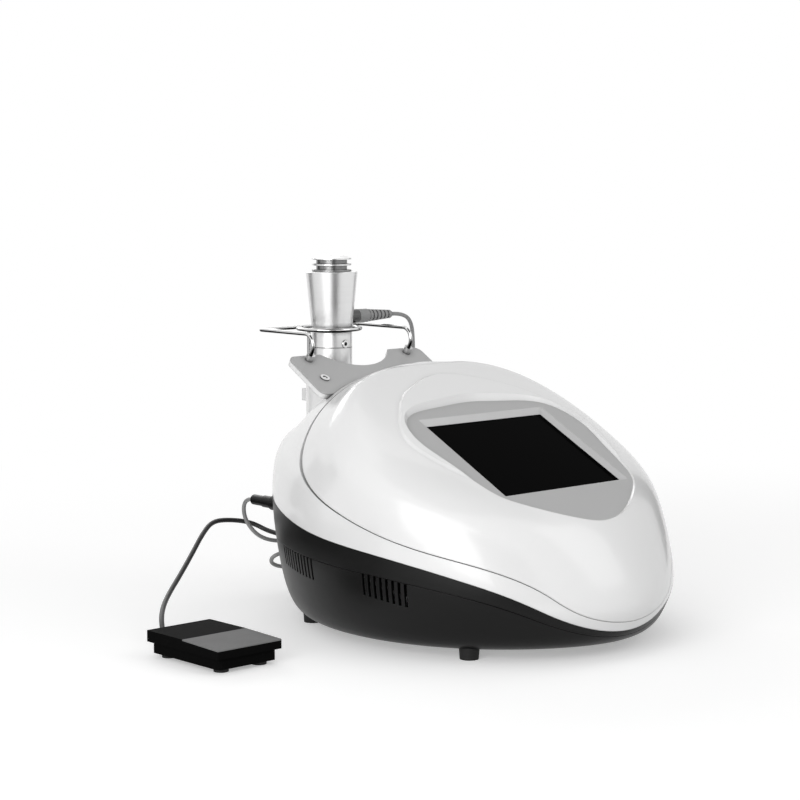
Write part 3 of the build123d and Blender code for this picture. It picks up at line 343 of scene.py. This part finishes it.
# %% Dress the solid pieces
finish_of = {
    "white_shell": white, "grey_panel": panel, "frame_silver": silver, "black_base": black,
    "screen_glass": glass, "display_metal": zinc, "black_rubber": rubber, "chrome": chrome,
    "handpiece_metal": turned, "brass": brass, "grey_cable": cable_grey,
    "pedal_black": pedal_black, "tread_grey": tread, "steel": steel, "chassis_zinc": zinc,
    "motor_metal": inner_black, "inner_black": inner_black, "clear_hose": hose_clear,
    "board_green": board,
}
own_finish = {"wire_rest": wire_chrome, "handpiece_socket": dark_chrome}
slot_of = {part["node"]: part["material_slot"] for part in frame["record"]["subparts"]}
for name, node in nodes.items():
    finish = own_finish.get(name) or finish_of[slot_of[name]]
    node.data.materials.clear()
    node.data.materials.append(finish.material)
print("dressed", len(nodes), "pieces in", len(finish_of), "slots")

# %% [markdown]
# The leads. A limp cable has no corners, so its line is one smooth curve that is pulled towards
# a few points, and it starts and ends straight along the plug that holds it. The handpiece's lead
# leaves the rear plug, hangs down, lies in one loop behind the housing and rises to the
# handpiece. The foot switch's lead runs down beside the housing to the table.

# %% Routes of the leads, in millimetres
handpiece_route = [
    (-92.4, 239, 108), (-92.4, 250, 108), (-91, 260, 99), (-88, 260, 82), (-76, 252, 64),
    (-50, 247, 57), (-8, 245, 58), (34, 243, 60), (52, 243, 56), (60, 243, 45), (52, 242, 34),
    (34, 240, 31), (0, 239, 38), (-34, 237, 46), (-56, 238, 48), (-66, 244, 43),
    (-60, 252, 34), (-40, 256, 27), (6, 258, 24), (50, 250, 34), (86, 240, 60),
    (108, 232, 105), (118, 228, 160), (121, 226, 215), (121, 225, 262), (116, 223, 286),
    (100, 221.5, 294.8), (84, 221.5, 294.8),
]
foot_route = [
    (-60, 236, 68), (-60, 254, 68), (-72, 270, 78), (-94, 280, 82), (-118, 278, 83),
    (-140, 266, 74), (-170, 245, 59), (-202, 222, 45), (-233, 199, 34), (-258, 176, 27),
    (-278, 152, 20), (-291.2, 130, 10), (-291.2, 113, 10),
]
print("points", len(handpiece_route), "and", len(foot_route))

# %% [markdown]
# A spline is drawn through Blender's own curve tools, and measured as the chain of points that
# it is made of. Only then does it get its round section.

# %% Smooth lines that can be measured


def smooth_line(name, route):
    """A curve that follows a route given in millimetres."""
    line = bpy.data.curves.new(name, "CURVE")
    line.dimensions = "3D"
    line.resolution_u = 12
    line.use_fill_caps = True
    spline = line.splines.new("NURBS")
    spline.points.add(len(route) - 1)
    for point, place in zip(spline.points, route):
        point.co = (*(Vector(place) * MM), 1)
    spline.order_u = 3
    spline.use_endpoint_u = True
    made = bpy.data.objects.new(name, line)
    scene.collection.objects.link(made)
    return made


def mesh_of(curve):
    """The mesh that a curve gives as it stands."""
    bpy.context.view_layer.update()
    graph = bpy.context.evaluated_depsgraph_get()
    return bpy.data.meshes.new_from_object(curve.evaluated_get(graph))


def line_points(curve):
    """The points of a curve's own line, and its length."""
    mesh = mesh_of(curve)
    points = [vertex.co.copy() for vertex in mesh.vertices]
    bpy.data.meshes.remove(mesh)
    return points, sum((b - a).length for a, b in zip(points, points[1:]))


def thicken(curve, diameter):
    """Gives a line its round section."""
    curve.data.bevel_depth = diameter / 2
    curve.data.bevel_resolution = 5


# %% [markdown]
# The handpiece's lead becomes a mesh tube, made from its curve and its round section, and takes
# the place of the solid lead.

# %% Handpiece lead
lead_diameter = 4.3 * MM
lead_line = smooth_line("lead_line", handpiece_route)
lead_path, lead_length = line_points(lead_line)
thicken(lead_line, lead_diameter)
lead = bpy.data.objects.new("handpiece_cable", mesh_of(lead_line))
bpy.data.objects.remove(lead_line)
scene.collection.objects.link(lead)
for face in lead.data.polygons:
    face.use_smooth = True
lead.data.materials.append(cable_grey.material)
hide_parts("handpiece_lead")
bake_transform(lead)
print("handpiece lead", round(lead_length, 3), "m")

# %% [markdown]
# The foot switch stands still beside the housing, so its lead can stay a curve.

# %% Foot switch lead
foot_lead_diameter = 5.0 * MM
foot_lead = smooth_line("foot_cable", foot_route)
foot_path, foot_length = line_points(foot_lead)
thicken(foot_lead, foot_lead_diameter)
foot_lead.data.materials.append(cable_black.material)
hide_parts("foot_lead")
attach(foot_lead, "root")
print("foot lead", round(foot_length, 3), "m")

# %% [markdown]
# A studio sweep: a pale floor in a white surround. The floor near the object is a plain surface
# that keeps the object's shadow, and what the camera and the mirrors see of it is lifted a
# little. Further out it fades into the same white as the surround, so that there is no horizon.

# %% Sheets for the studio, and the rays that see them
WHITE = (1, 1, 1, 1)


def seen_rays(tree):
    """The part of a light path that camera, mirror and glass rays take."""
    path = tree.nodes.new("ShaderNodeLightPath")
    names = ("Is Camera Ray", "Is Glossy Ray", "Is Transmission Ray")
    return [path.outputs[name] for name in names]


def flat_sheet(name, size, place=None):
    """A sheet of width and length, turned and set by a matrix."""
    mesh = bpy.data.meshes.new(name)
    sheet = bmesh.new()
    bmesh.ops.create_grid(sheet, x_segments=1, y_segments=1, size=1)
    bmesh.ops.scale(sheet, verts=sheet.verts, vec=(size[0] / 2, size[1] / 2, 1))
    if place:
        bmesh.ops.transform(sheet, verts=sheet.verts, matrix=place)
    sheet.to_mesh(mesh)
    sheet.free()
    made = bpy.data.objects.new(name, mesh)
    scene.collection.objects.link(made)
    return made


# %% Floor that fades into white
floor_lift = 0.35
fade_start, fade_end = 0.55, 1.3
floor = flat_sheet("floor", (24, 24))
floor_finish = Finish("floor_white", grey(0.8), 0.9, Specular_IOR_Level=0.0)
camera_ray, mirror_ray, glass_ray = [
    Wire(floor_finish, socket) for socket in seen_rays(floor_finish.tree)
]
seen = camera_ray + mirror_ray + glass_ray
lifted = floor_finish.node("AddShader", {}, {
    0: Wire(floor_finish, floor_finish.shader.outputs[0]),
    1: floor_finish.node("Emission", {}, {"Color": WHITE, "Strength": seen * floor_lift}),
})
reach = floor_finish.node(
    "VectorMath", {"operation": "LENGTH"}, {0: floor_finish.place}, output="Value")
fade = floor_finish.node("MapRange", {"interpolation_type": "SMOOTHSTEP"}, {
    "Value": reach, "From Min": fade_start, "From Max": fade_end,
})
far_white = floor_finish.node("Emission", {}, {"Color": WHITE, "Strength": 1.0})
sweep = floor_finish.node("MixShader", {}, {0: fade * seen, 1: lifted, 2: far_white})
floor_output = floor_finish.tree.nodes["Material Output"]
floor_finish.tree.links.new(sweep.socket, floor_output.inputs["Surface"])
floor.data.materials.append(floor_finish.material)
print("floor fades from", fade_start, "to", fade_end, "m")

# %% [markdown]
# The surround lights the object softly from all sides, at less than full strength, and still
# looks pure white to the camera and in mirrors. So it is two backgrounds, and the kind of ray
# chooses between them.

# %% White surround
surround_light = 0.46
world = bpy.data.worlds.new("surround")
scene.world = world
world.use_nodes = True
world_tree = world.node_tree
world_light = world_tree.nodes["Background"]
world_light.inputs["Color"].default_value = WHITE
world_light.inputs["Strength"].default_value = surround_light
world_seen = world_tree.nodes.new("ShaderNodeBackground")
world_seen.inputs["Color"].default_value = WHITE
world_seen.inputs["Strength"].default_value = 1.0
surface = world_light.outputs[0]
for ray in seen_rays(world_tree):
    world_mix = world_tree.nodes.new("ShaderNodeMixShader")
    world_tree.links.new(ray, world_mix.inputs[0])
    world_tree.links.new(surface, world_mix.inputs[1])
    world_tree.links.new(world_seen.outputs[0], world_mix.inputs[2])
    surface = world_mix.outputs[0]
world_tree.links.new(surface, world_tree.nodes["World Output"].inputs["Surface"])
print("surround lights at", surround_light)

# %% [markdown]
# Soft lamps, as in a product studio: a broad key lamp on the left, a low one under it that lights
# the skirt, a fill on the right, one overhead, and one behind that draws the rim of the black
# base. Each is a rectangle of width and height in metres that faces the middle of the housing.

# %% Lamps
middle = Vector((0, 0.03, 0.15))


def lamp(name, place, size, watts):
    light = bpy.data.lights.new(name, "AREA")
    light.shape = "RECTANGLE"
    light.size, light.size_y = size
    light.energy = watts
    made = bpy.data.objects.new(name, light)
    scene.collection.objects.link(made)
    made.location = place
    made.rotation_mode = "QUATERNION"
    made.rotation_quaternion = (middle - Vector(place)).to_track_quat("-Z", "Y")


lamp("key", place=(-2.3, -1.2, 0.95), size=(2.2, 1.6), watts=33)
lamp("low", place=(-2.1, -0.7, 0.4), size=(1.4, 0.6), watts=5)
lamp("fill", place=(1.2, -2.3, 1.9), size=(1.6, 1.6), watts=12)
lamp("rim", place=(0.8, 2.4, 1.4), size=(2.0, 0.8), watts=14)
lamp("top", place=(0.0, 0.1, 2.6), size=(1.8, 1.8), watts=5)
print("lamps", [light.name for light in bpy.data.lights])

# %% [markdown]
# Dark cards around the object are only seen in its mirrors and gloss. They draw the dark bands
# that make turned metal and chrome read as metal, and the soft edges of light on the dome. Two
# of them lie on the floor, and one hangs overhead.

# %% Dark cards
card_finish = Finish("card_black", grey(0.01), 0.9, Specular_IOR_Level=0.0)


def black_card(name, size, place):
    """A dark card that is seen only in mirrors."""
    card = flat_sheet(name, size, place)
    card.data.materials.append(card_finish.material)
    card.visible_camera = False
    card.visible_diffuse = False
    card.visible_shadow = False


def towards(azimuth):
    """Turns a place in front of the object to stand at an azimuth in degrees."""
    return Matrix.Rotation(radians(azimuth), 4, "Z")


def standing_card(name, azimuth, distance, width, height):
    """An upright dark card that faces the object."""
    centre = Matrix.Translation((0, -distance, height / 2))
    upright = Matrix.Rotation(radians(90), 4, "X")
    black_card(name, (width, height), towards(azimuth) @ centre @ upright)


def lying_card(name, azimuth, distance, width, length):
    """A dark card that lies just above the floor, so that the two don't flicker."""
    centre = Matrix.Translation((0, -distance, 3 * MM))
    black_card(name, (width, length), towards(azimuth) @ centre)


standing_card("card_front", azimuth=-32, distance=1.7, width=0.8, height=0.9)
standing_card("card_left", azimuth=-122, distance=0.55, width=0.5, height=0.1)
standing_card("card_rear", azimuth=-156, distance=1.8, width=0.8, height=0.5)
standing_card("card_right", azimuth=100, distance=1.8, width=0.35, height=1.2)
lying_card("card_low", azimuth=-30, distance=1.1, width=0.7, length=1.1)
lying_card("card_low_left", azimuth=-150, distance=0.75, width=0.5, length=0.7)
black_card("card_over", (2.4, 1.6), Matrix.Translation((-0.4, -0.6, 2.2)))
